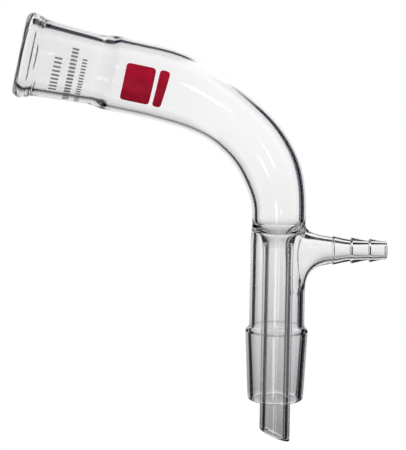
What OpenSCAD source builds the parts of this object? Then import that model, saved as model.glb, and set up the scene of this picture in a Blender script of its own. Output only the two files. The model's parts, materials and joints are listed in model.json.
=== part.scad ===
// Vacuum take-off adapter: a bent adapter of clear borosilicate glass, blown and welded into one piece.
// It is drawn in the plane that holds both its arms. The ring seal is at the origin, the lower arm runs
// down from it along -Y, the side arm points along +X, and the bent tube rises from it and leans over
// towards -X. The finished piece is then laid down as it comes to rest, on its rim, its bend and the
// shoulder of its cone, with the origin under the middle of its box.

/* [Tapered joints] */
// Diameter of the socket and of the cone at the large end of their taper
joint_large_d = 18.8; // [18.6:0.1:19]
// Length of each joint's taper
joint_length = 22; // [21:0.5:23]
// Length of taper in which the diameter falls by 1
taper_length = 10; // [9:1:12]

/* [Socket] */
// Wall of the socket behind its rim
socket_wall = 2; // [1.8:0.1:2.2]
// Outer diameter of the rim's bead
rim_d = 25.1; // [25.1:0.1:26]
// Radius of the bead's rounded outside
rim_round = 2.3; // [2:0.1:2.3]
// Radius of the mouth's rounded inner edge
mouth_round = 0.7; // [0.4:0.1:0.7]
// Depth from the mouth's face to where the rim has run out into the socket
rim_run_out = 8.1; // [7:0.1:10]
// Depth from the mouth's face to the weld with the bent tube
weld_depth = 27; // [27:0.5:30]

/* [Bent tube] */
// Outer diameter of the tube behind the weld
tube_d = 21.7; // [21:0.1:22.5]
// Wall of the tube
tube_wall = 1.4; // [1.2:0.1:1.5]
// Depth from the mouth's face to the start of the bend
bend_start = 38.8; // [35:0.1:45]
// Outer diameter of the tube in the tight part of the bend
bend_d = 17.7; // [17:0.1:18.5]
// Outer diameter at the neck, just above the ring seal
neck_d = 15.9; // [15.5:0.1:16.5]
// Centreline radius of the bend's wide first part
wide_bend_r = 57.4; // [50:0.1:65]
// Angle turned in the wide part
wide_bend_angle = 33.4; // [28:0.1:38]
// Centreline radius of the bend's tight second part
tight_bend_r = 33; // [30:0.1:36]
// Angle turned in the tight part
tight_bend_angle = 45.1; // [42:0.1:48]
// Straight length between the bend and the ring seal
neck_length = 3.3; // [3:0.1:6]

/* [Jacket and cone] */
// Outer diameter of the jacket round the drip tube
jacket_d = 16.5; // [16:0.1:17]
// Wall of the jacket
jacket_wall = 1.5; // [1.3:0.1:1.6]
// Distance from the ring seal down to the start of the cone's shoulder
jacket_length = 30.4; // [30:0.1:31]
// Distance from the ring seal down to the large end of the cone
cone_top = 31.2; // [31:0.1:34]
// Wall of the cone
cone_wall = 1.55; // [1.4:0.05:1.7]

/* [Drip tube] */
// Outer diameter of the drip tube
drip_d = 9.1; // [8.8:0.1:9.4]
// Bore of the drip tube
drip_bore = 6.2; // [6:0.1:6.4]
// Distance from the ring seal down to the middle of the slanted tip
drip_length = 64.45; // [62:0.05:70]
// Angle of the tip's slanted cut
tip_angle = 22.5; // [0:0.5:30]
// Distance from the ring seal down to where the funnel has become the drip tube
funnel_length = 9; // [8.5:0.1:10]

/* [Side arm] */
// Distance from the ring seal down to the side arm's axis
arm_drop = 7.8; // [7.6:0.1:8]
// Reach of the side arm's tip from the lower arm's axis
arm_reach = 32.4; // [32:0.1:35]
// Bore of the side arm
arm_bore = 3.7; // [3.4:0.1:4]
// Outer diameter of the first and largest barb
barb_d = 8.6; // [8.4:0.1:9]
// How much smaller each barb is than the one before it
barb_step = 0.75; // [0.6:0.05:0.85]
// Distance from one barb to the next
barb_pitch = 5.5; // [5:0.1:5.6]
// Height of each barb above the hollow in front of it
barb_lift = 0.45; // [0.3:0.05:0.5]

/* [Hidden] */
$fn = 96;

// The bent tube and the side arm's root are skins through rings. The bent tube's ends are sunk by
// seam_length into the walls they join, and set back by seam inside them, so that no faces coincide.
loft_sides = 40;
seam = 0.1;
seam_length = 0.6;
past = 1;

joint_large_r = joint_large_d / 2;
joint_small_r = joint_large_r - joint_length / taper_length / 2;

rim_r = rim_d / 2;
rim_back_angle = 18;
rim_hollow_depth = 5.9;
rim_hollow_rise = 0.35;
taper_start = 2;
bore_step_start = taper_start + joint_length;
bore_step_end = weld_depth + 1;
waist_depth = 22;
waist_dip = 0.1;
weld_lift = 0.1;
weld_run_out = 4;
tube_r = tube_d / 2;
tube_bore_r = tube_r - tube_wall;

bend_r = bend_d / 2;
neck_r = neck_d / 2;
neck_bore_r = neck_r - tube_wall;
bend_angle = wide_bend_angle + tight_bend_angle;
tight_length = tight_bend_r * tight_bend_angle * PI / 180;
bend_length = tight_length + wide_bend_r * wide_bend_angle * PI / 180;
bend_steps = 27;
neck_taper = 15;
tube_taper_start = bend_length - 29.5;
tube_taper_end = bend_length - 3.5;

jacket_r = jacket_d / 2;
jacket_bore_r = jacket_r - jacket_wall;
seal_run_out = 5;
shoulder_steps = 8;
shoulder_end = cone_top + 1.2;
shoulder_length = shoulder_end - jacket_length;
inner_shoulder_drop = 0.1;
cone_bottom = cone_top + joint_length;
lip_round = cone_wall / 2;

drip_r = drip_d / 2;
drip_bore_r = drip_bore / 2;
crease_round = 0.5;
crease_drop = 2.4;
funnel_rise = 7;
funnel_bore_top = 1.5;
funnel_bore_foot = 7.5;
cut_size = 30;

barb_r = barb_d / 2;
barb_fall = 0.4;
barb_sunk = 2.5;
first_barb = arm_reach - 3 * barb_pitch + 0.5;
arm_bore_r = arm_bore / 2;
arm_tip_r = 2.8;
arm_tip_length = 1.5;
arm_tip_round = (arm_tip_r - arm_bore_r) / 2;
bore_taper_start = 15.9;
bore_taper_length = 4.7;
bore_taper_r = 2.5;
root_cut_r = (jacket_r + jacket_bore_r) / 2;

// Rings of the side arm's root: distance out, reach above and below the arm's axis, half across
root_outer = [
    [3.6, 6.2, 7.6, 7.1], [5.6, 7, 9.2, 6.8], [7.4, 7.6, 10.6, 6.3], [8.2, 7.5, 10.2, 5.9],
    [9, 6.5, 7.8, 5.5], [10.4, 5.4, 5.9, 5], [12.5, 4.65, 4.8, 4.5], [14.5, 4.25, 4.3, 4.2]
];
root_bore = [
    [5, 3.3, 7.4, 4], [6.75, 5, 9.6, 4.1], [7.6, 4.9, 8.4, 4.1], [9, 4.5, 6.2, 3.9],
    [10.4, 4, 4.4, 3.6], [12.3, 3.2, 3.1, 3], [16, 2.5, 2.5, 2.5]
];

// Smooth step from 0 to 1 as x goes from a to b
function step(a, b, x) = let (t = min(1, max(0, (x - a) / (b - a)))) t * t * (3 - 2 * t);

// Points along an arc, and along a quarter ellipse that starts upright
function on_arc(centre, r, a) = centre + r * [cos(a), sin(a)];
function arc(centre, r, from, to, n = 8) =
    [for (i = [0:n]) on_arc(centre, r, from + (to - from) * i / n)];
function flare(foot, wide, tall, from, to, n = 8) =
    [for (i = [0:n]) let (a = from + (to - from) * i / n) foot + [wide * (1 - cos(a)), tall * sin(a)]];

// Outer radius and bore radius of the socket arm at a depth from the mouth's face
function taper_r(depth) = joint_large_r - (depth - taper_start) / taper_length / 2;
function socket_outer(depth) =
    let (
        body = taper_r(depth) + socket_wall - waist_dip * step(rim_run_out, waist_depth, depth),
        weld = tube_r + weld_lift - weld_lift * step(weld_depth, weld_depth + weld_run_out, depth)
    )
    body + (weld - body) * step(waist_depth, weld_depth, depth);
function socket_bore(depth) =
    taper_r(depth) + (tube_bore_r - taper_r(depth)) * step(bore_step_start, bore_step_end, depth);

// Centreline, turn and outer radius of the bent tube at a distance s above the bend's lower end
tight_centre = [-tight_bend_r, neck_length];
wide_centre = on_arc(tight_centre, tight_bend_r - wide_bend_r, tight_bend_angle);
bend_top = on_arc(wide_centre, wide_bend_r, bend_angle);
socket_dir = [-sin(bend_angle), cos(bend_angle)];
mouth = bend_top + bend_start * socket_dir;
function turned(s) =
    s < tight_length ? s / tight_bend_r * 180 / PI
    : tight_bend_angle + (s - tight_length) / wide_bend_r * 180 / PI;
function bend_centre(s) =
    s < tight_length ? on_arc(tight_centre, tight_bend_r, turned(s))
    : on_arc(wide_centre, wide_bend_r, turned(s));
function bend_outer(s) =
    neck_r + (bend_r - neck_r) * step(0, neck_taper, s)
    + (tube_r - bend_r) * step(tube_taper_start, tube_taper_end, s);

// A closed skin through rings of [x, y, angle of the ring's in-plane half, in-plane half, half across]
module loft(rings) {
    n = loft_sides;
    last = len(rings) - 1;
    points = [
        for (ring = rings, k = [0:n - 1])
            let (a = 360 * (k + 0.5) / n, in_plane = on_arc([ring[0], ring[1]], ring[3] * cos(a), ring[2]))
            [in_plane.x, in_plane.y, ring[4] * sin(a)]
    ];
    sides = [
        for (i = [0:last - 1], k = [0:n - 1])
            let (here = i * n, next = here + n, m = (k + 1) % n)
            each [[here + k, next + k, next + m], [here + k, next + m, here + m]]
    ];
    caps = [[for (k = [0:n - 1]) k], [for (k = [n - 1:-1:0]) last * n + k]];
    polyhedron(points, concat(sides, caps));
}

// Socket with its rounded rim, the weld, and the straight tube up to the bend
module socket_section() {
    polygon(concat(
        arc([rim_r - rim_round, rim_round], rim_round, -90, rim_back_angle),
        [[taper_r(rim_hollow_depth) + socket_wall + rim_hollow_rise, rim_hollow_depth]],
        [for (depth = [rim_run_out:1:bend_start]) [socket_outer(depth), depth]],
        [[tube_r, bend_start], [tube_bore_r, bend_start]],
        [
            for (i = [0:8])
                let (depth = bore_step_end - (bore_step_end - bore_step_start) * i / 8)
                [socket_bore(depth), depth]
        ],
        [[joint_large_r, taper_start]],
        arc([joint_large_r + mouth_round, mouth_round], mouth_round, 180, 270)
    ));
}
module socket_arm() {
    translate([mouth.x, mouth.y, 0]) rotate([0, 0, bend_angle]) rotate([90, 0, 0])
        rotate_extrude() socket_section();
}

// The bent tube. inset is what is taken off its radius, and overlap is how far it runs into its neighbours.
// No ring lies in the plane where it meets a neighbour.
function bend_rings(inset, overlap) =
    let (
        sunk = inset == 0 ? seam : -seam,
        neck_end = neck_r - inset - sunk,
        tube_end = tube_r - inset - sunk
    )
    concat(
        [[0, neck_length - overlap, 180, neck_end, neck_end]],
        [
            for (i = [1:bend_steps - 1])
                let (s = bend_length * i / bend_steps, r = bend_outer(s) - inset)
                concat(bend_centre(s), [180 + turned(s), r, r])
        ],
        [concat(bend_top + overlap * socket_dir, [180 + bend_angle, tube_end, tube_end])]
    );
module bent_tube() {
    difference() {
        loft(bend_rings(0, seam_length));
        loft(bend_rings(tube_wall, past));
    }
}

// Neck, ring seal, jacket, cone, funnel and drip tube
function cone_outer(y) = joint_large_r + (y + cone_top) / taper_length / 2;
function cone_bore(y) = cone_outer(y) - cone_wall;
module lower_section() {
    funnel_foot = [drip_r, -funnel_length];
    drip_end = -drip_length - cut_size / 4;
    polygon(concat(
        [[neck_r, neck_length]],
        [for (t = [0:0.2:1]) [neck_r + (jacket_r - neck_r) * step(0, 1, t), -seal_run_out * t]],
        [
            for (i = [0:shoulder_steps])
                let (t = i / shoulder_steps, y = -jacket_length - shoulder_length * t)
                [jacket_r + (cone_outer(y) - jacket_r) * step(0, 1, t), y]
        ],
        arc([joint_small_r - lip_round, lip_round - cone_bottom], lip_round, 0, -180),
        [
            for (i = [0:shoulder_steps])
                let (t = i / shoulder_steps, y = -shoulder_end - inner_shoulder_drop + shoulder_length * t)
                [cone_bore(y) + (jacket_bore_r - cone_bore(y)) * step(0, 1, t), y]
        ],
        arc([jacket_bore_r - crease_round, -crease_drop], crease_round, 0, 110),
        flare(funnel_foot, jacket_bore_r - drip_r, funnel_rise, 65, 0),
        [[drip_r, drip_end], [drip_bore_r, drip_end]],
        [
            for (i = [0:12])
                let (t = i / 12)
                [
                    drip_bore_r + (neck_bore_r - drip_bore_r) * step(0, 1, t),
                    -funnel_bore_foot + (funnel_bore_top + funnel_bore_foot) * t
                ]
        ],
        [[neck_bore_r, neck_length]]
    ));
}
module lower_arm() {
    difference() {
        rotate([-90, 0, 0]) rotate_extrude() lower_section();
        translate([0, -drip_length, 0]) rotate([0, 0, -tip_angle]) translate([0, -cut_size / 2, 0])
            cube(cut_size, center = true);
    }
}

// The side arm: a root that flows into the jacket, then a tail of three barbs with a rounded tip
function root_rings(rings) =
    [for (ring = rings) [ring[0], (ring[1] - ring[2]) / 2 - arm_drop, 90, (ring[1] + ring[2]) / 2, ring[3]]];
function barb_top(i) = barb_r - i * barb_step / 2;
module barb_section() {
    neck = barb_r - barb_lift / 2;
    polygon(concat(
        [[0, first_barb - barb_sunk], [neck, first_barb - barb_sunk], [neck, first_barb - barb_fall]],
        [
            for (i = [0:2])
                let (x = first_barb + i * barb_pitch, fall = i < 2 ? barb_fall : arm_tip_length)
                each [[barb_top(i), x], [barb_top(i + 1) - barb_lift, x + barb_pitch - fall]]
        ],
        arc([arm_tip_r - arm_tip_round, arm_reach - arm_tip_round], arm_tip_round, 0, 90),
        [[0, arm_reach]]
    ));
}
module side_arm() {
    difference() {
        loft(root_rings(root_outer));
        rotate([90, 0, 0]) cylinder(h = 4 * cut_size, r = root_cut_r, center = true);
    }
    translate([0, -arm_drop, 0]) rotate([0, 90, 0]) rotate_extrude() barb_section();
}
module side_arm_bore() {
    loft(root_rings(root_bore));
    translate([0, -arm_drop, 0]) rotate([0, 90, 0]) {
        translate([0, 0, bore_taper_start])
            cylinder(h = bore_taper_length, r1 = bore_taper_r, r2 = arm_bore_r);
        translate([0, 0, bore_taper_start + bore_taper_length - seam])
            cylinder(h = arm_reach, r = arm_bore_r);
    }
}

// The whole piece of glass, in its drawing plane
module glass() {
    socket_arm();
    bent_tube();
    difference() {
        union() {
            lower_arm();
            side_arm();
        }
        side_arm_bore();
    }
}

// How the piece lies at rest. A ring that can touch the floor is [centre, direction, radius, bead],
// where bead is what the ring's own rounded edge adds to its radius.
rim_ring = [mouth - rim_round * socket_dir, socket_dir, rim_r - rim_round, rim_round];
shoulder_ring = [[0, -shoulder_end], [0, 1], cone_outer(-shoulder_end), 0];
tip_ring = [[arm_reach - arm_tip_round, -arm_drop], [1, 0], arm_tip_r - arm_tip_round, arm_tip_round];
drip_point = [drip_r, -drip_length - drip_r * tan(tip_angle), 0];
function ring_r(ring) = ring[2] + ring[3];

// The floor touches the rim and the shoulder, and leans about the line between them up to the bend
support = shoulder_ring[0] - rim_ring[0];
support_dir = support / norm(support);
support_slope = (ring_r(shoulder_ring) - ring_r(rim_ring)) / norm(support);
bend_side = [-support_dir.y, support_dir.x];
lean_slope = min([
    for (i = [0:60])
        let (s = bend_length * i / 60, from_rim = bend_centre(s) - rim_ring[0])
        (ring_r(rim_ring) + support_slope * from_rim * support_dir - bend_outer(s)) / (from_rim * bend_side)
]);
floor_slope = support_slope * support_dir - lean_slope * bend_side;
rest_tilt = atan(norm(floor_slope));
rest_axis = [floor_slope.y, -floor_slope.x, 0] / norm(floor_slope);

// A direction of the resting piece as it lies in the drawing plane, and how far a ring reaches that way
function undo_rest(v) =
    v * cos(rest_tilt) - cross(rest_axis, v) * sin(rest_tilt)
    + rest_axis * (rest_axis * v) * (1 - cos(rest_tilt));
function reach(ring, v) =
    let (d = undo_rest(v), along = [ring[1].x, ring[1].y, 0] * d)
    [ring[0].x, ring[0].y, 0] * d + ring[2] * sqrt(1 - along * along) + ring[3];
left_end = -reach(rim_ring, [-1, 0, 0]);
right_end = reach(tip_ring, [1, 0, 0]);
near_end = drip_point * undo_rest([0, 1, 0]);
far_end = reach(rim_ring, [0, 1, 0]);
lowest = -max(reach(rim_ring, [0, 0, -1]), reach(shoulder_ring, [0, 0, -1]));
rest_middle = [(left_end + right_end) / 2, (near_end + far_end) / 2, lowest];

module adapter() {
    color("lightcyan") translate(-rest_middle) rotate(a = rest_tilt, v = rest_axis) glass();
}

adapter();
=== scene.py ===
"""A vacuum take-off adapter of clear blown glass, lying on a pale table as it comes to rest.

The glass is one closed skin. It is worked out in the plane of the bend, in millimetres, with the ring seal
at the origin, the lower arm along -Y and the side arm along +X, and is then laid down into the row frame.
"""

import json
import math

import bmesh
import bpy
import numpy as np
from mathutils import Matrix, Vector


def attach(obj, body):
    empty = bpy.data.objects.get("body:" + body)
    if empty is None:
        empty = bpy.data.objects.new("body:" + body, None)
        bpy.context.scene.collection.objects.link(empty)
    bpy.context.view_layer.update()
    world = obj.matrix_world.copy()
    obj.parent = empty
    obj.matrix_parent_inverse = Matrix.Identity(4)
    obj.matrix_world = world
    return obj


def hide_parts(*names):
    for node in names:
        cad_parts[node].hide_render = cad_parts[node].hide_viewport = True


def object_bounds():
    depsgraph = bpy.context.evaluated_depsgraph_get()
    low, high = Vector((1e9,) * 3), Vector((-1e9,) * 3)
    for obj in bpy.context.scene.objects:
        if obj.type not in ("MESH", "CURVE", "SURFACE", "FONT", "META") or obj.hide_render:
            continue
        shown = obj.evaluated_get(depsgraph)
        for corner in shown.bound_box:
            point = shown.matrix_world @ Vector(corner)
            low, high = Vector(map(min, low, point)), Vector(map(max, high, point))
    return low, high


MM = 0.001

# Tapered joints, size 19/22
JOINT_LARGE_R = 9.4
JOINT_LENGTH = 22.0
# Length of taper in which the radius falls by 1
TAPER_LENGTH = 20
JOINT_SMALL_R = JOINT_LARGE_R - JOINT_LENGTH / TAPER_LENGTH

# Socket, weld and bent tube
SOCKET_WALL = 2.0
RIM_R = 12.55
RIM_ROUND = 2.3
RIM_BACK_ANGLE = 40.0
RIM_RUN_OUT = 8.1
FLARE_DEPTH = 3.9
# Depth from the mouth's face, and how far the glass stands out from the wall there
RIM_HOLLOW = ((4.4, 0.82), (5.1, 0.42), (5.35, 0.32), (5.5, 0.28), (6.5, 0.17))
# Depth from the mouth's face, and how far the bore opens beyond its taper there
MOUTH_FLARE = ((3.7, 0.06), (3.2, 0.16), (2.2, 0.35), (1.2, 0.55), (0.5, 0.73), (0.1, 0.88))
TAPER_START = 2.0
WAIST_DEPTH = 22.0
WAIST_DIP = 0.1
WELD_DEPTH = 27.0
WELD_LIFT = 0.1
WELD_RUN_OUT = 4
TUBE_R = 10.85
TUBE_WALL = 1.4
BEND_START = 38.8
BEND_R = 8.85
NECK_R = 7.95
NECK_TAPER = 15.0
NECK_LENGTH = 3.3
TIGHT_R, TIGHT_TURN = 33.0, math.radians(45.1)
WIDE_R, WIDE_TURN = 57.4, math.radians(33.4)
TIGHT_LENGTH = TIGHT_R * TIGHT_TURN
BEND_LENGTH = TIGHT_LENGTH + WIDE_R * WIDE_TURN
TUBE_TAPER_START = BEND_LENGTH - 29.5
TUBE_TAPER_END = BEND_LENGTH - 3.5
STRAIGHT_START = NECK_LENGTH + BEND_LENGTH
MOUTH_AT = STRAIGHT_START + BEND_START

# Jacket, cone and drip tube
JACKET_R = 8.25
JACKET_BORE_R = 6.75
JACKET_LENGTH = 30.4
SEAL_RUN_OUT = 5.0
CONE_TOP = 31.2
CONE_BOTTOM = CONE_TOP + JOINT_LENGTH
CONE_WALL = 1.55
SHOULDER_RUN_OUT = 1.2
SHOULDER_END = CONE_TOP + SHOULDER_RUN_OUT
SHOULDER_LENGTH = SHOULDER_END - JACKET_LENGTH
INNER_SHOULDER_DROP = 0.1
DRIP_R = 4.55
DRIP_BORE_R = 3.1
DRIP_LENGTH = 64.45
DRIP_ROUND = 0.5
TIP_SLOPE = math.tan(math.radians(22.5))
CREASE_DROP = 2.4
CREASE_ROUND = 0.5
FUNNEL_LENGTH = 9.0
FUNNEL_RISE = 7.0
FUNNEL_BORE_TOP = 1.5
FUNNEL_BORE_FOOT = 7.5

# Side arm
ARM_DROP = 7.8
ARM_REACH = 32.4
ARM_ROOT_END = 14.8
ARM_BORE_ROOT_END = 16.5
ARM_BORE_R = 1.85
ARM_TIP_R = 2.8
FIRST_BARB = 16.4
BARB_PITCH = 5.5
BARB_R = 4.3
BARB_STEP = 0.375
BARB_HOLLOW = 0.62

# Enamel prints: how far their two faces stand off the glass, and the space between their points
ENAMEL_FOOT = 0.008
ENAMEL_TOP = 0.03
MARK_STEP = 0.45
# The red bars: middle along the tube, angle, half along, half across, and radius of the corners
RED_BARS = ((NECK_LENGTH + 63.2, 94.0, 4.3, 5.7, 1.0), (NECK_LENGTH + 56.4, 94.0, 1.4, 5.7, 1.0))
# Rows of grey ticks: depth from the mouth, first and last angle, spacing, half along and half across
TICK_ROWS = (
    (11.3, 80, 132, 6.5, 1.2, 0.3),
    (15.6, 60, 160, 6.0, 1.0, 0.35),
    (18.8, 74, 160, 5.0, 0.75, 0.25),
)
TICK_CORNER = 0.1

# How far apart the slow waves lie that a flame leaves in blown glass
FLAME_WAVE = 7.14

# The grey sheet, in metres: its radius and drop, and along each axis where it is darkest and where clear
GEL_R = 0.19
GEL_DROP = 0.1
GEL_SHADES = (("Y", -0.093, -0.028, 0.29), ("Y", -0.028, 0.018, 0.86), ("X", -0.047, 0.013, 0.84))

# The camera: its eye and target from the ring seal, with the lower arm leaning a little off upright
LENS = 172.97
EYE = (-64, 105, 630)
TARGET = (-22, 0, 0)
ARM_LEAN = math.radians(0.86)
ARM_SHIFT = 0.532

# Points round the tubes, and the two windows in the jacket that the side arm grows from: how many points
# wide and tall, half the angle, and the reach above and below the side arm's axis
ROUND = 96
OUTER_WINDOW = {"wide": 30, "tall": 24, "half_angle": 56.25, "above": 7.5, "below": 10.5}
INNER_WINDOW = {"wide": 20, "tall": 34, "half_angle": 37.5, "above": 4.8, "below": 11.9}
ARM_ROUND = 2 * (OUTER_WINDOW["wide"] + OUTER_WINDOW["tall"])

# How the side arm's root and its bore flow from their windows: where each bent line is pulled to, and its end
OUTER_ROOT = {
    "middle_x": (7.1, 8.75),
    "middle_above": 4.9,
    "middle_below": 4.9,
    "middle_across": 5.25,
    "end_x": ARM_ROOT_END,
    "end_r": 4.25,
}
BORE_ROOT = {
    "middle_x": (8.0, 7.5),
    "middle_above": 3.6,
    "middle_below": 2.7,
    "middle_across": 3.6,
    "end_x": ARM_BORE_ROOT_END,
    "end_r": 2.5,
}
ROOT_STEPS = 22


def smooth_step(start, end, x):
    t = min(1.0, max(0.0, (x - start) / (end - start)))
    return t * t * (3 - 2 * t)


def mix(a, b, t):
    return a + (b - a) * t


# ---- the outlines of the walls ----


def taper_r(depth):
    return JOINT_LARGE_R - (depth - TAPER_START) / TAPER_LENGTH


def socket_outer(depth):
    """Outer radius of the socket and weld at a depth from the mouth's face."""
    body = taper_r(depth) + SOCKET_WALL - WAIST_DIP * smooth_step(RIM_RUN_OUT, WAIST_DEPTH, depth)
    run_out = smooth_step(WELD_DEPTH, WELD_DEPTH + WELD_RUN_OUT, depth)
    weld = TUBE_R + WELD_LIFT - WELD_LIFT * run_out
    return mix(body, weld, smooth_step(WAIST_DEPTH, WELD_DEPTH, depth))


def socket_bore(depth):
    step_start = TAPER_START + JOINT_LENGTH
    return mix(taper_r(depth), TUBE_R - TUBE_WALL, smooth_step(step_start, WELD_DEPTH + 1, depth))


def bend_outer(at):
    """Outer radius of the bent tube at a distance above the bend's lower end."""
    neck = (BEND_R - NECK_R) * smooth_step(0, NECK_TAPER, at)
    return NECK_R + neck + (TUBE_R - BEND_R) * smooth_step(TUBE_TAPER_START, TUBE_TAPER_END, at)


def cone_outer(y):
    return JOINT_LARGE_R + (y + CONE_TOP) / TAPER_LENGTH


def cone_bore(y):
    return cone_outer(y) - CONE_WALL


def arc(centre, radius, start, end, steps=8):
    """Points [distance along the arm, radius] on an arc; the angle is 0 outward and 90 up the arm."""
    turns = np.radians(np.linspace(start, end, steps + 1))
    return [[centre[0] + radius * math.sin(t), centre[1] + radius * math.cos(t)] for t in turns]


def rounded(points, times=2):
    """Cuts the corners of an open outline, and keeps its ends."""
    points = np.array(points, float)
    for _ in range(times):
        a, b = points[:-1], points[1:]
        cut = np.stack([a * 0.75 + b * 0.25, a * 0.25 + b * 0.75], axis=1).reshape(-1, points.shape[1])
        points = np.vstack([points[:1], cut, points[-1:]])
    return points


def thinned(points, longest, turn=math.radians(7)):
    """Drops points of a smooth outline where it runs nearly straight, and leaves none further apart than
    longest."""
    kept = [points[0]]
    heading = None
    for here, ahead in zip(points[1:-1], points[2:]):
        step, onward = here - kept[-1], ahead - here
        heading = step if heading is None else heading
        bend = abs(math.atan2(heading[0] * onward[1] - heading[1] * onward[0], heading @ onward))
        if bend > turn or np.linalg.norm(ahead - kept[-1]) > longest:
            kept.append(here)
            heading = onward
    return np.array(kept + [points[-1]])


def outer_from_mouth():
    """The outside from the mouth's face, over the rim, the weld and the bend, to the ring seal's foot."""
    rim_centre = [MOUTH_AT - RIM_ROUND, RIM_R - RIM_ROUND]
    points = arc(rim_centre, RIM_ROUND, 90, -RIM_BACK_ANGLE, 12)
    for depth, rise in RIM_HOLLOW:
        points.append([MOUTH_AT - depth, taper_r(depth) + SOCKET_WALL + rise])
    points += [[MOUTH_AT - d, socket_outer(d)] for d in np.arange(RIM_RUN_OUT, BEND_START, 1)]
    points += [[NECK_LENGTH + s, bend_outer(s)] for s in np.linspace(BEND_LENGTH, 0, 50)]
    points += [[y, jacket_outer(y)] for y in np.linspace(2, window_row(OUTER_WINDOW, 0), 3)]
    return thinned(rounded(points), 1.3)


def jacket_outer(y):
    return mix(NECK_R, JACKET_R, smooth_step(0, SEAL_RUN_OUT, -y))


def outer_to_lip():
    """The outside from below the side arm, over the shoulder and down the cone, round its lip."""
    points = [[y, JACKET_R] for y in np.linspace(window_row(OUTER_WINDOW, 1), -JACKET_LENGTH + 1, 6)]
    for t in np.linspace(0, 1, 9):
        y = -JACKET_LENGTH - SHOULDER_LENGTH * t
        points.append([y, mix(JACKET_R, cone_outer(y), smooth_step(0, 1, t))])
    for y in np.linspace(-SHOULDER_END - 0.8, -CONE_BOTTOM + 2, 12):
        points.append([y, cone_outer(y)])
    lip = CONE_WALL / 2
    points += arc([-CONE_BOTTOM + lip, JOINT_SMALL_R - lip], lip, 0, -180, 10)
    for y in np.linspace(-CONE_BOTTOM + 2, -SHOULDER_END - 0.9, 12):
        points.append([y, cone_bore(y)])
    for t in np.linspace(0, 1, 9):
        y = -SHOULDER_END - INNER_SHOULDER_DROP + SHOULDER_LENGTH * t
        points.append([y, mix(cone_bore(y), JACKET_BORE_R, smooth_step(0, 1, t))])
    bore_end = window_row(INNER_WINDOW, 1)
    points += [[y, JACKET_BORE_R] for y in np.linspace(-JACKET_LENGTH + 0.3, bore_end, 6)]
    return thinned(rounded(points), 1.3)


def seal_to_mouth():
    """From above the inner window, round the crease of the ring seal, down the drip tube's outside, round
    its tip, and up the bore to the mouth. The third number is how much of the tip's slant a point has."""
    crease = [-CREASE_DROP, JACKET_BORE_R - CREASE_ROUND]
    points = [[window_row(INNER_WINDOW, 0), JACKET_BORE_R]]
    points += arc(crease, CREASE_ROUND, 0, 110, 8)
    for turn in np.radians(np.linspace(65, 0, 9)):
        points.append([FUNNEL_RISE * math.sin(turn) - FUNNEL_LENGTH, DRIP_R + 2.2 * (1 - math.cos(turn))])
    points = [p + [0.0] for p in points]
    points += [[y, DRIP_R, 0.0] for y in np.linspace(-FUNNEL_LENGTH - 2, -DRIP_LENGTH + 8, 24)]
    for y, r in arc([-DRIP_LENGTH + DRIP_ROUND, DRIP_R - DRIP_ROUND], DRIP_ROUND, 0, -90, 6):
        points.append([y, r, 1.0])
    for y, r in arc([-DRIP_LENGTH + DRIP_ROUND, DRIP_BORE_R + DRIP_ROUND], DRIP_ROUND, -90, -180, 6):
        points.append([y, r, 1.0])
    points += [[y, DRIP_BORE_R, 0.0] for y in np.linspace(-DRIP_LENGTH + 8, -FUNNEL_BORE_FOOT - 1.5, 24)]
    for t in np.linspace(0, 1, 12):
        y = -FUNNEL_BORE_FOOT + (FUNNEL_BORE_TOP + FUNNEL_BORE_FOOT) * t
        points.append([y, mix(DRIP_BORE_R, NECK_R - TUBE_WALL, smooth_step(0, 1, t)), 0.0])
    for s in np.linspace(0, BEND_LENGTH, 50):
        points.append([NECK_LENGTH + s, bend_outer(s) - TUBE_WALL, 0.0])
    for depth in [*np.arange(BEND_START - 1, FLARE_DEPTH + 0.6, -0.8), FLARE_DEPTH + 0.2, FLARE_DEPTH]:
        points.append([MOUTH_AT - depth, socket_bore(depth), 0.0])
    for depth, rise in MOUTH_FLARE:
        points.append([MOUTH_AT - depth, taper_r(FLARE_DEPTH) + rise, 0.0])
    points.append([MOUTH_AT, RIM_R - RIM_ROUND, 0.0])
    return thinned(rounded(points), 1.3)


# ---- rings of points, in the plane of the bend ----


def centreline(at):
    """Middle and direction of turn of the glass at a distance above the ring seal, below it if negative."""
    s = at - NECK_LENGTH
    if s <= 0:
        return np.array([0.0, at]), 0.0
    tight_middle = np.array([-TIGHT_R, NECK_LENGTH])
    if s < TIGHT_LENGTH:
        turn = s / TIGHT_R
        return tight_middle + TIGHT_R * unit(turn), turn
    wide_middle = tight_middle + (TIGHT_R - WIDE_R) * unit(TIGHT_TURN)
    turn = TIGHT_TURN + min(s - TIGHT_LENGTH, WIDE_R * WIDE_TURN) / WIDE_R
    straight = max(0.0, s - BEND_LENGTH)
    return wide_middle + WIDE_R * unit(turn) + straight * unit(turn + math.pi / 2), turn


def unit(turn):
    return np.array([math.cos(turn), math.sin(turn)])


def on_tube(at, radius, angle, slant=0.0):
    """A point of a tube's wall. The angle is 0 on the outside of the bend, and 90 on the side lying up."""
    middle, turn = centreline(at)
    outward = radius * math.cos(angle)
    x, y = middle + outward * unit(turn)
    return np.array([x, y - slant * outward * TIP_SLOPE, radius * math.sin(angle)])


def ring(at, radius, slant=0.0):
    return [on_tube(at, radius, 2 * math.pi * k / ROUND, slant) for k in range(ROUND)]


def window_row(window, share):
    """Height of a window's row, as a share of the way from its top edge to its bottom edge."""
    return -ARM_DROP + window["above"] - share * (window["above"] + window["below"])


def window_place(window, across, up):
    """Angle and height of a point given in half-widths across and reaches up from the side arm's axis."""
    reach = window["above"] if up > 0 else window["below"]
    return math.radians(window["half_angle"] * across), up * reach - ARM_DROP


def window_point(window, wall_r, turn):
    """A point on the rim of the oval window in a wall, a turn about the side arm's axis."""
    angle, y = window_place(window, math.cos(turn), math.sin(turn))
    r = wall_r(y)
    return np.array([r * math.cos(angle), y, r * math.sin(angle)])


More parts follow.
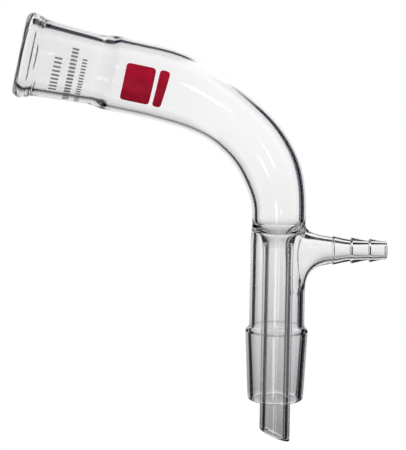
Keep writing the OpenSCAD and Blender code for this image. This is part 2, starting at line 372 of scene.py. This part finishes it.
def window_rings(window, wall_r):
    """The jacket's rings past a window, with the points round it drawn in to the window's oval."""
    rings = []
    for row in range(window["tall"] + 1):
        y = window_row(window, row / window["tall"])
        up = (y + ARM_DROP) / (window["above"] if y > -ARM_DROP else window["below"])
        points = []
        for k in range(ROUND):
            angle = 360.0 * k / ROUND
            across = (angle - 360 if angle > 180 else angle) / window["half_angle"]
            square, far = max(abs(across), abs(up)), math.hypot(across, up)
            if square < 1 - 1e-6 or far < 1e-6:
                points.append(np.full(3, np.nan))
                continue
            pull = mix(square / far, 1.0, smooth_step(1, 1.5, square))
            turned, height = window_place(window, across * pull, up * pull)
            r = wall_r(height)
            points.append(np.array([r * math.cos(turned), height, r * math.sin(turned)]))
        rings.append(points)
    return rings


def window_edge(window):
    """The window's edge as (row, point of the ring), turning from the side towards the top."""
    half, tall = window["wide"] // 2, window["tall"]
    side = [(tall - i, half) for i in range(tall)]
    top = [(0, half - i) for i in range(window["wide"])]
    far_side = [(i, -half) for i in range(tall)]
    bottom = [(tall, i - half) for i in range(window["wide"])]
    return side + top + far_side + bottom


def edge_turns(window):
    """The turn of each point of the window's edge about the side arm's axis."""
    turns = []
    for row, k in window_edge(window):
        y = window_row(window, row / window["tall"])
        up = (y + ARM_DROP) / (window["above"] if y > -ARM_DROP else window["below"])
        turns.append(math.atan2(up, k / (window["wide"] / 2)))
    return np.unwrap(turns)


def root_rings(window, wall_r, middle_x, middle_above, middle_below, middle_across, end_x, end_r):
    """Rings that flow from the window's oval to the side arm, each point along its own bent line."""
    start_turns = edge_turns(window)
    even_turns = start_turns[0] + 2 * math.pi * np.arange(ARM_ROUND) / ARM_ROUND
    rings = []
    for t in (np.arange(1, ROOT_STEPS + 1) / ROOT_STEPS) ** 1.3:
        points = []
        for turn in mix(start_turns, even_turns, smooth_step(0, 1, t)):
            c, s = math.cos(turn), math.sin(turn)
            foot = window_point(window, wall_r, turn)
            reach = middle_above if s > 0 else middle_below
            x = mix(middle_x[0], middle_x[1], s * s)
            bent = np.array([x, reach * s - ARM_DROP, middle_across * c])
            end = np.array([end_x, end_r * s - ARM_DROP, end_r * c])
            points.append((1 - t) ** 2 * foot + 2 * t * (1 - t) * bent + t * t * end)
        rings.append(points)
    return rings, even_turns


def arm_outline():
    """The side arm past its root: the three barbs, the rounded tip, and the bore back to the root."""
    points = [[ARM_ROOT_END, 4.2], [15.6, 4.0], [16.1, 3.92], [16.15, 3.92]]
    for i in range(3):
        x, crest = FIRST_BARB + i * BARB_PITCH, BARB_R - i * BARB_STEP
        foot = crest - BARB_STEP
        points += [[x - 0.15, crest - 0.12], [x, crest], [x + 0.15, crest], [x + 2.8, foot - 0.25]]
        if i < 2:
            points += [[x + 4.8, foot - BARB_HOLLOW], [x + 5.05, foot - BARB_HOLLOW]]
    points += [[31.2, 2.75], [31.6, ARM_TIP_R]]
    tip_round = (ARM_TIP_R - ARM_BORE_R) / 2
    points += arc([ARM_REACH - tip_round, ARM_TIP_R - tip_round], tip_round, 0, 180, 12)
    points += [[x, ARM_BORE_R] for x in (30.0, 26.0, 22.0)]
    points += [[20.6, 1.86], [18.2, 2.2], [ARM_BORE_ROOT_END, 2.5]]
    return thinned(rounded(points), 0.8)


class Skin:
    """The points and faces of one or more closed skins."""

    def __init__(self):
        self.points = []
        self.faces = []

    def add_ring(self, points):
        start = len(self.points)
        self.points += [tuple(p) for p in points]
        return list(range(start, len(self.points)))

    def join(self, low, high):
        for k in range(len(low)):
            m = (k + 1) % len(low)
            corners = (low[k], high[k], high[m], low[m])
            self.faces.append(tuple(dict.fromkeys(corners)))

    def shape(self, name, place):
        """A mesh object of the points that faces use, laid down into the row frame and facing outward."""
        used = sorted({i for face in self.faces for i in face})
        renamed = {old: new for new, old in enumerate(used)}
        mesh = bpy.data.meshes.new(name)
        corners = [place @ Vector(self.points[i]) for i in used]
        mesh.from_pydata(corners, [], [[renamed[i] for i in face] for face in self.faces])
        shell = bmesh.new()
        shell.from_mesh(mesh)
        bmesh.ops.recalc_face_normals(shell, faces=shell.faces)
        shell.to_mesh(mesh)
        shell.free()
        mesh.polygons.foreach_set("use_smooth", [True] * len(mesh.polygons))
        obj = bpy.data.objects.new(name, mesh)
        bpy.context.scene.collection.objects.link(obj)
        return obj


def blow_glass(place):
    """The whole piece of glass: the tubes' wall as one loop of rings, with the side arm let into it."""
    skin = Skin()
    loop = [skin.add_ring(ring(at, r)) for at, r in outer_from_mouth()[:-1]]
    outer_start = len(loop)
    loop += [skin.add_ring(r) for r in window_rings(OUTER_WINDOW, jacket_outer)]
    loop += [skin.add_ring(ring(at, r)) for at, r in outer_to_lip()[1:-1]]
    inner_start = len(loop)
    inner = window_rings(INNER_WINDOW, lambda y: JACKET_BORE_R)[::-1]
    loop += [skin.add_ring(r) for r in inner]
    loop += [skin.add_ring(ring(at, r, slant)) for at, r, slant in seal_to_mouth()[1:-1]]
    windows = (
        (outer_start, OUTER_WINDOW["tall"], OUTER_WINDOW["wide"] // 2),
        (inner_start, INNER_WINDOW["tall"], INNER_WINDOW["wide"] // 2),
    )
    for i, low in enumerate(loop):
        high = loop[(i + 1) % len(loop)]
        for k in range(ROUND):
            angle = k if k < ROUND // 2 else k - ROUND
            if any(first <= i < first + tall and -half <= angle < half for first, tall, half in windows):
                continue
            m = (k + 1) % ROUND
            skin.faces.append((low[k], high[k], high[m], low[m]))

    outer_rings, turns = root_rings(OUTER_WINDOW, jacket_outer, **OUTER_ROOT)
    bore_rings, _ = root_rings(INNER_WINDOW, lambda y: JACKET_BORE_R, **BORE_ROOT)
    edge = [loop[outer_start + row][k] for row, k in window_edge(OUTER_WINDOW)]
    arm = [edge] + [skin.add_ring(r) for r in outer_rings]
    for x, r in arm_outline()[1:-1]:
        arm.append(skin.add_ring([[x, r * math.sin(t) - ARM_DROP, r * math.cos(t)] for t in turns]))
    arm += [skin.add_ring(r) for r in bore_rings[::-1]]
    last = INNER_WINDOW["tall"]
    arm.append([loop[inner_start + last - row][k] for row, k in window_edge(INNER_WINDOW)])
    for low, high in zip(arm, arm[1:]):
        skin.join(high, low)
    return skin.shape("adapter_glass", place)


# ---- fired prints ----


def mark_outline(half_along, half_across, corner):
    """Points evenly spaced round a rectangle with rounded corners, as offsets along and across the tube."""
    corners = []
    for quarter, (x_side, y_side) in enumerate(((1, 1), (-1, 1), (-1, -1), (1, -1))):
        for turn in np.radians(np.linspace(0, 90, 7) + 90 * quarter):
            x = x_side * (half_along - corner) + corner * math.cos(turn)
            y = y_side * (half_across - corner) + corner * math.sin(turn)
            corners.append((x, y))
    corners = np.array(corners + corners[:1])
    run = np.concatenate([[0], np.cumsum(np.linalg.norm(np.diff(corners, axis=0), axis=1))])
    even = np.linspace(0, run[-1], max(12, round(run[-1] / MARK_STEP)), endpoint=False)
    return np.stack([np.interp(even, run, corners[:, 0]), np.interp(even, run, corners[:, 1])], axis=1)


def add_mark(skin, at, angle, half_along, half_across, corner):
    """Adds a thin rectangle of enamel with rounded corners, bent round the tube and fired on to it."""
    radius = tube_outer(at)
    outline = mark_outline(half_along, half_across, corner)
    sheets = []
    for lift in (ENAMEL_FOOT, ENAMEL_TOP):
        centre = skin.add_ring([on_tube(at, radius + lift, math.radians(angle))])
        layers = [centre * len(outline)]
        for share in np.linspace(0, 1, 1 + math.ceil(max(half_along, half_across) / MARK_STEP))[1:]:
            points = []
            for x, y in outline * share:
                turn = math.radians(angle) + y / radius
                points.append(on_tube(at + x, tube_outer(at + x) + lift, turn))
            layers.append(skin.add_ring(points))
        sheets.append(layers)
    for layers in sheets:
        for inside, outside in zip(layers, layers[1:]):
            skin.join(inside, outside)
    skin.join(sheets[0][-1], sheets[1][-1])


def fired_print(name, place, marks):
    skin = Skin()
    for mark in marks:
        add_mark(skin, *mark)
    print_on_glass = skin.shape(name, place)
    print_on_glass.data.set_sharp_from_angle(angle=math.radians(40))
    return print_on_glass


def ticks(depth, first, last, spacing, half_along, half_across):
    """A row of plain ticks round the socket at a depth from its mouth, from one angle to another."""
    count = int((last - first) / spacing) + 1
    angles = [first + i * spacing for i in range(count)]
    return [(MOUTH_AT - depth, angle, half_along, half_across, TICK_CORNER) for angle in angles]


def tube_outer(at):
    if at > STRAIGHT_START:
        return socket_outer(MOUTH_AT - at)
    return bend_outer(at - NECK_LENGTH)


# ---- finishes ----


def linear(hex_colour):
    """Linear red, green, blue and alpha of an sRGB hex colour."""
    parts = [int(hex_colour[i : i + 2], 16) / 255 for i in (1, 3, 5)]
    return [c / 12.92 if c <= 0.04045 else ((c + 0.055) / 1.055) ** 2.4 for c in parts] + [1.0]


def add_node(tree, kind, settings=None, values=None, links=None):
    """Adds a node: settings are its own, values go on its sockets, links come from other nodes."""
    node = tree.nodes.new(kind)
    for key, value in (settings or {}).items():
        setattr(node, key, value)
    for key, value in (values or {}).items():
        node.inputs[key].default_value = value
    for key, output in (links or {}).items():
        tree.links.new(output, node.inputs[key])
    return node


def combine(tree, operation, outputs):
    """One output from several, by multiplying them or by taking the largest."""
    total = outputs[0]
    for output in outputs[1:]:
        links = {0: total, 1: output}
        total = add_node(tree, "ShaderNodeMath", {"operation": operation}, None, links).outputs[0]
    return total


def new_finish(name):
    finish = bpy.data.materials.new(name)
    finish.use_nodes = True
    finish.node_tree.nodes.clear()
    return finish, finish.node_tree


def borosilicate_glass():
    """Borosilicate glass, blown and fire-polished: clear and without a grain, with the faintest grey-green
    in the long paths along the rims, and the slow waves that a flame leaves."""
    finish, tree = new_finish("borosilicate_glass")
    place = add_node(tree, "ShaderNodeTexCoord")
    size = {"Scale": 1 / (FLAME_WAVE * MM), "Detail": 1.0}
    waves = add_node(tree, "ShaderNodeTexNoise", None, size, {"Vector": place.outputs["Object"]})
    bump = add_node(
        tree, "ShaderNodeBump", None, {"Strength": 0.3, "Distance": 0.00004}, {"Height": waves.outputs[0]}
    )
    body = add_node(
        tree,
        "ShaderNodeBsdfPrincipled",
        None,
        {
            "Base Color": linear("#FEFEFE"),
            "Roughness": 0.0,
            "IOR": 1.474,
            "Transmission Weight": 1.0,
        },
        {"Normal": bump.outputs["Normal"]},
    )
    tint = add_node(tree, "ShaderNodeVolumeAbsorption", None, {"Color": linear("#E6E8DC"), "Density": 30.0})
    links = {"Surface": body.outputs[0], "Volume": tint.outputs[0]}
    add_node(tree, "ShaderNodeOutputMaterial", None, None, links)
    return finish


def fired_enamel(name, colour, roughness, mottle_size):
    """Ceramic enamel, screened on and fired: a thin even film, satin, and a little uneven in its colour.
    The size of its mottle is in millimetres."""
    finish, tree = new_finish(name)
    place = add_node(tree, "ShaderNodeTexCoord")
    size = {"Scale": 1 / (mottle_size * MM), "Detail": 3.0}
    mottle = add_node(tree, "ShaderNodeTexNoise", None, size, {"Vector": place.outputs["Object"]})
    tone = add_node(tree, "ShaderNodeValToRGB", None, None, {"Fac": mottle.outputs[0]})
    tone.color_ramp.elements[0].position = 0.35
    tone.color_ramp.elements[0].color = linear(colour[0])
    tone.color_ramp.elements[1].position = 0.65
    tone.color_ramp.elements[1].color = linear(colour[1])
    body = add_node(
        tree,
        "ShaderNodeBsdfPrincipled",
        None,
        {"Roughness": roughness, "IOR": 1.52},
        {"Base Color": tone.outputs[0]},
    )
    add_node(tree, "ShaderNodeOutputMaterial", None, None, {"Surface": body.outputs[0]})
    return finish


def dress(obj, finish):
    obj.data.materials.append(finish)
    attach(obj, "root")


# ---- stage, light and camera ----


def lay_down(record):
    """The matrix from the plane of the bend, in millimetres, to the row frame, in metres."""
    mounts = {m["name"]: m for m in record["mounts"]}
    side = Vector(mounts["hose_barb"]["axis"]).normalized()
    down = Vector(mounts["cone"]["axis"]).normalized()
    across = side.cross(-down).normalized()
    side = (-down).cross(across)
    seal = Vector(mounts["cone"]["pos_m"]) - down * CONE_BOTTOM * MM
    columns = [side * MM, -down * MM, across * MM, seal]
    return Matrix([[*(c[i] for c in columns)] for i in range(3)] + [[0, 0, 0, 1]])


def pale_table(low, high):
    """A wide, even, white table, seen only directly: behind the glass lies the light field."""
    size = 60 * max(high[0] - low[0], high[1] - low[1])
    bpy.ops.mesh.primitive_plane_add(size=size, location=(0, 0, 0))
    table = bpy.context.object
    table.name = "pale_table"
    finish, tree = new_finish("white_table")
    glow = add_node(tree, "ShaderNodeEmission", None, {"Color": linear("#FFFFFF"), "Strength": 1.0})
    add_node(tree, "ShaderNodeOutputMaterial", None, None, {"Surface": glow.outputs[0]})
    table.data.materials.append(finish)
    table.visible_transmission = False
    table.visible_glossy = False
    table.visible_diffuse = False
    table.visible_shadow = False


def grey_gel():
    """A sheet below the table, which darkens the light towards the near side and a little towards the left.
    It isn't seen directly and casts no shadow."""
    bpy.ops.mesh.primitive_circle_add(vertices=64, radius=GEL_R, fill_type="NGON", location=(0, 0, -GEL_DROP))
    gel = bpy.context.object
    gel.name = "grey_gel"
    finish, tree = new_finish("grey_gel")
    place = add_node(tree, "ShaderNodeTexCoord")
    axes = add_node(tree, "ShaderNodeSeparateXYZ", None, None, {"Vector": place.outputs["Object"]})
    shades = []
    for axis, start, end, dark in GEL_SHADES:
        values = {"From Min": start, "From Max": end, "To Min": dark, "To Max": 1.0}
        links = {"Value": axes.outputs[axis]}
        shades.append(add_node(tree, "ShaderNodeMapRange", None, values, links).outputs[0])
    shade = combine(tree, "MULTIPLY", shades)
    links = {"Red": shade, "Green": shade, "Blue": shade}
    tint = add_node(tree, "ShaderNodeCombineColor", None, None, links)
    clear = add_node(tree, "ShaderNodeBsdfTransparent", None, None, {"Color": tint.outputs[0]})
    add_node(tree, "ShaderNodeOutputMaterial", None, None, {"Surface": clear.outputs[0]})
    gel.data.materials.append(finish)
    gel.visible_camera = False
    gel.visible_diffuse = False
    gel.visible_shadow = False


def light_field():
    """Light by direction. Below lies a bright field that ends in darkness, which draws the dark lines in the
    glass, with a gap in the dark towards one corner. A band of light runs round the horizon, dim where the
    glass mirrors it and bright where it is seen through the glass. A small soft box hangs overhead."""
    world = bpy.data.worlds.new("light_field")
    bpy.context.scene.world = world
    world.use_nodes = True
    tree = world.node_tree
    tree.nodes.clear()
    place = add_node(tree, "ShaderNodeTexCoord")
    axes = add_node(tree, "ShaderNodeSeparateXYZ", None, None, {"Vector": place.outputs["Generated"]})
    height = axes.outputs["Z"]
    steep = add_node(tree, "ShaderNodeMath", {"operation": "ABSOLUTE"}, None, {0: height})
    steep = add_node(tree, "ShaderNodeMath", {"operation": "MAXIMUM"}, {1: 0.01}, {0: steep.outputs[0]})
    slopes = {}
    for axis in "XY":
        links = {0: axes.outputs[axis], 1: steep.outputs[0]}
        slopes[axis] = add_node(tree, "ShaderNodeMath", {"operation": "DIVIDE"}, None, links).outputs[0]

    def ramp(value, start, end, low, high):
        values = {"From Min": start, "From Max": end, "To Min": low, "To Max": high}
        settings = {"interpolation_type": "SMOOTHSTEP"}
        return add_node(tree, "ShaderNodeMapRange", settings, values, {"Value": value}).outputs["Result"]

    # The bright field below, and where it ends on the left, the right, the far side and the near side
    below = combine(
        tree,
        "MULTIPLY",
        [
            ramp(height, -0.05, 0.0, 1.0, 0.0),
            ramp(slopes["X"], -0.52, -0.46, 0.0, 1.0),
            ramp(slopes["X"], 0.40, 0.44, 1.0, 0.0),
            ramp(slopes["Y"], 0.45, 0.50, 1.0, 0.0),
            ramp(slopes["Y"], -1.6, -1.0, 0.0, 1.0),
            ramp(height, -0.9, -0.5, 1.06, 0.98),
        ],
    )
    # The gap in the dark, between the right and the far side
    aslant = add_node(tree, "ShaderNodeMath", {"operation": "SUBTRACT"}, {1: 0.05}, {0: slopes["X"]})
    raised = add_node(tree, "ShaderNodeMath", {"operation": "ADD"}, {1: 0.12}, {0: slopes["Y"]})
    links = {0: raised.outputs[0], 1: aslant.outputs[0]}
    corner = add_node(tree, "ShaderNodeMath", {"operation": "DIVIDE"}, None, links).outputs[0]
    gap = combine(
        tree,
        "MULTIPLY",
        [
            ramp(height, -0.05, 0.0, 1.15, 0.0),
            ramp(slopes["X"], 0.15, 0.25, 0.0, 1.0),
            ramp(corner, 1.0, 1.35, 0.0, 1.0),
            ramp(corner, 1.9, 2.6, 1.0, 0.0),
        ],
    )
    path = add_node(tree, "ShaderNodeLightPath")
    passed_glass = path.outputs["Is Transmission Ray"]
    # The band round the horizon, and the soft box
    horizon = combine(
        tree,
        "MULTIPLY",
        [
            ramp(height, -0.38, -0.29, 0.0, 1.0),
            ramp(height, 0.12, 0.4, 1.0, 0.5),
            ramp(passed_glass, 0.0, 1.0, 0.12, 0.8),
        ],
    )
    soft_box = combine(
        tree,
        "MULTIPLY",
        [
            ramp(height, 0.5, 0.6, 0.0, 3.2),
            ramp(slopes["X"], -0.38, -0.30, 0.0, 1.0),
            ramp(slopes["X"], -0.20, -0.12, 1.0, 0.0),
            ramp(slopes["Y"], -0.44, -0.36, 0.0, 1.0),
            ramp(slopes["Y"], -0.22, -0.14, 1.0, 0.0),
        ],
    )
    field = combine(tree, "MAXIMUM", [below, gap, horizon, soft_box])
    glow = add_node(tree, "ShaderNodeBackground", None, {"Color": linear("#FFFFFF")}, {"Strength": field})
    gloom = add_node(tree, "ShaderNodeBackground", None, {"Color": linear("#14122A"), "Strength": 0.9})
    lit = add_node(tree, "ShaderNodeAddShader", None, None, {0: glow.outputs[0], 1: gloom.outputs[0]})
    plain = add_node(tree, "ShaderNodeBackground", None, {"Color": linear("#FFFFFF"), "Strength": 1.0})
    seen = add_node(
        tree,
        "ShaderNodeMixShader",
        None,
        None,
        {0: path.outputs["Is Camera Ray"], 1: lit.outputs[0], 2: plain.outputs[0]},
    )
    add_node(tree, "ShaderNodeOutputWorld", None, None, {"Surface": seen.outputs[0]})


def key_lamp():
    lamp = bpy.data.lights.new("key_lamp", "SUN")
    lamp.energy = 2.2
    lamp.angle = math.radians(20)
    obj = bpy.data.objects.new("key_lamp", lamp)
    obj.rotation_euler = (math.radians(-20), math.radians(-15), 0)
    obj.visible_glossy = False
    obj.visible_transmission = False
    bpy.context.scene.collection.objects.link(obj)


def look_at_glass(place):
    """The camera stands high over the near side of the bend's left half, looking down on the glass."""
    def upright(u, v, z):
        u -= ARM_SHIFT
        x = u * math.cos(ARM_LEAN) - v * math.sin(ARM_LEAN)
        y = u * math.sin(ARM_LEAN) + v * math.cos(ARM_LEAN)
        return place @ Vector((x, y, z))

    eye, target = upright(*EYE), upright(*TARGET)
    up = upright(EYE[0], EYE[1] + 100, EYE[2]) - eye
    back = (eye - target).normalized()
    right = up.cross(back).normalized()
    top = back.cross(right)
    camera = bpy.data.cameras.new("camera")
    camera.lens = LENS
    camera.sensor_width = 36
    camera.clip_start, camera.clip_end = 0.01, 50
    obj = bpy.data.objects.new("camera", camera)
    obj.matrix_world = Matrix([[right[i], top[i], back[i], eye[i]] for i in range(3)] + [[0, 0, 0, 1]])
    bpy.context.scene.collection.objects.link(obj)
    bpy.context.scene.camera = obj


# ---- the piece ----

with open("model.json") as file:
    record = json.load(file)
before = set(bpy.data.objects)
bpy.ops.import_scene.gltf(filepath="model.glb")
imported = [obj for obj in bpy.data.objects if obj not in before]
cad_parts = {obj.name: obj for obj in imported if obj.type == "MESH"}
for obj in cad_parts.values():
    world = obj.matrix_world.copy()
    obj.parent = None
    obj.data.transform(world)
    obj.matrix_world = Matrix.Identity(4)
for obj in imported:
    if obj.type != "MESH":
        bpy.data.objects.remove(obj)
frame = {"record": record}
at_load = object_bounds()
place = lay_down(frame["record"])

glass = blow_glass(place)
dress(glass, borosilicate_glass())
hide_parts("adapter")

red = fired_print("red_bars", place, RED_BARS)
dress(red, fired_enamel("red_enamel", ("#A80F2A", "#BC1634"), 0.3, 3.3))

grey = fired_print("grey_ticks", place, [mark for row in TICK_ROWS for mark in ticks(*row)])
dress(grey, fired_enamel("grey_enamel", ("#8E8B90", "#A09DA2"), 0.5, 1.7))

light_field()
key_lamp()
pale_table(*at_load)
grey_gel()
look_at_glass(place)

scene = bpy.context.scene
scene.view_settings.view_transform = "Standard"
scene.cycles.max_bounces = 32
scene.cycles.transmission_bounces = 32
scene.cycles.glossy_bounces = 16
